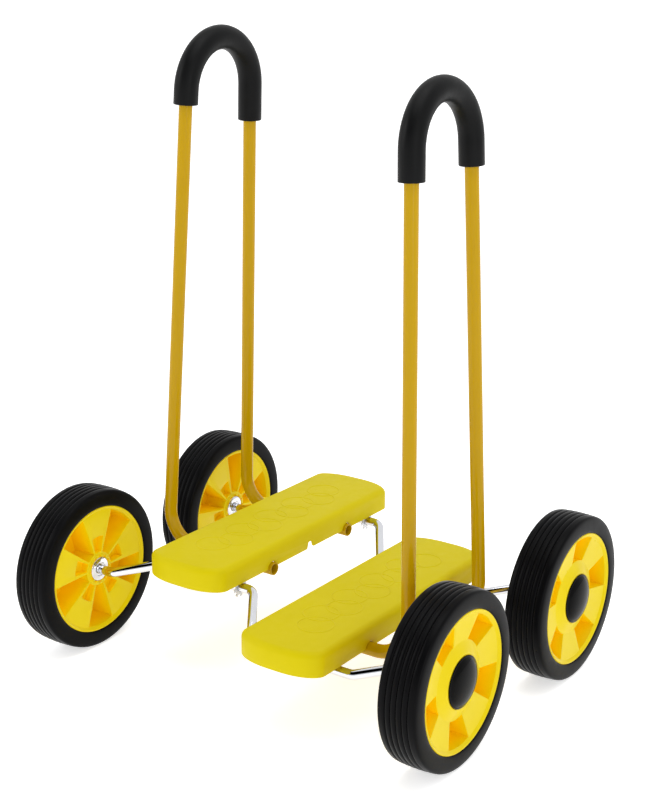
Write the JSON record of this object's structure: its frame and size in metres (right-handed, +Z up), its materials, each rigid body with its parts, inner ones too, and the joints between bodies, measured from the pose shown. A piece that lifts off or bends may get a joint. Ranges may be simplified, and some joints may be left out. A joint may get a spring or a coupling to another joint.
{
  "type": "pedal walker",
  "caption": "Pedal walker: two foot boards on double-crank axles with fixed wheels and two upright hand bars; the boards rise and fall in turn as it rolls.",
  "frame": {"origin": "on the floor, under the middle of the wheelbase and halfway between the two boards", "axes": "+Y the way it travels, +X the rider's right, +Z up"},
  "size_m": [0.5436, 0.4424, 0.7096],
  "materials": {
    "board_yellow": "satin moulded polypropylene",
    "rim_yellow": "smooth moulded polypropylene",
    "powder_coat": "gloss powder coat on steel tube",
    "foam_grip": "fine closed-cell foam",
    "tyre_rubber": "satin soft PVC with rolled ribs",
    "gloss_cap": "polished black",
    "chrome": "bright chrome plate",
    "zinc_steel": "zinc plate",
    "nylon": "moulded nylon"
  },
  "bodies": {
    "left_board": {"left_foot_board": "board_yellow", "left_front_bearing_screw_a": "zinc_steel", "left_front_bearing_screw_b": "zinc_steel", "left_front_pin_bearing": "nylon", "left_front_tube_screw_a": "zinc_steel", "left_front_tube_screw_b": "zinc_steel", "left_front_tube_strap": "zinc_steel", "left_grip": "foam_grip", "left_hand_bar": "powder_coat", "left_rear_bearing_screw_a": "zinc_steel", "left_rear_bearing_screw_b": "zinc_steel", "left_rear_pin_bearing": "nylon", "left_rear_tube_screw_a": "zinc_steel", "left_rear_tube_screw_b": "zinc_steel", "left_rear_tube_strap": "zinc_steel"},
    "front_crank": {"front_crank_axle": "chrome", "front_left_axle_nut": "zinc_steel", "front_left_drive_washer": "chrome", "front_left_hub_cap": "gloss_cap", "front_left_rim": "rim_yellow", "front_left_tyre": "tyre_rubber", "front_right_axle_nut": "zinc_steel", "front_right_drive_washer": "chrome", "front_right_hub_cap": "gloss_cap", "front_right_rim": "rim_yellow", "front_right_tyre": "tyre_rubber", "left_front_star_clip": "zinc_steel", "right_front_star_clip": "zinc_steel"},
    "rear_crank": {"left_rear_star_clip": "zinc_steel", "rear_crank_axle": "chrome", "rear_left_axle_nut": "zinc_steel", "rear_left_drive_washer": "chrome", "rear_left_hub_cap": "gloss_cap", "rear_left_rim": "rim_yellow", "rear_left_tyre": "tyre_rubber", "rear_right_axle_nut": "zinc_steel", "rear_right_drive_washer": "chrome", "rear_right_hub_cap": "gloss_cap", "rear_right_rim": "rim_yellow", "rear_right_tyre": "tyre_rubber", "right_rear_star_clip": "zinc_steel"},
    "right_board": {"right_foot_board": "board_yellow", "right_front_bearing_screw_a": "zinc_steel", "right_front_bearing_screw_b": "zinc_steel", "right_front_pin_bearing": "nylon", "right_front_tube_screw_a": "zinc_steel", "right_front_tube_screw_b": "zinc_steel", "right_front_tube_strap": "zinc_steel", "right_grip": "foam_grip", "right_hand_bar": "powder_coat", "right_rear_bearing_screw_a": "zinc_steel", "right_rear_bearing_screw_b": "zinc_steel", "right_rear_pin_bearing": "nylon", "right_rear_tube_screw_a": "zinc_steel", "right_rear_tube_screw_b": "zinc_steel", "right_rear_tube_strap": "zinc_steel"}
  },
  "joints": [
    {"name": "front_crank_turn", "type": "hinge", "parent": "left_board", "child": "front_crank", "pos_m": [-0.0837, 0.15234, 0.11071], "axis": [1, 0, 0], "continuous": true},
    {"name": "rear_crank_turn", "type": "hinge", "parent": "left_board", "child": "rear_crank", "pos_m": [-0.0837, -0.10006, 0.11071], "axis": [1, 0, 0], "continuous": true},
    {"name": "right_board_turn", "type": "hinge", "parent": "front_crank", "child": "right_board", "pos_m": [0.0837, 0.10006, 0.07929], "axis": [1, 0, 0], "continuous": true}
  ],
  "couplings": [
    {"joint": "rear_crank_turn", "follows": "front_crank_turn", "ratio": 1},
    {"joint": "right_board_turn", "follows": "front_crank_turn", "ratio": -1}
  ]
}
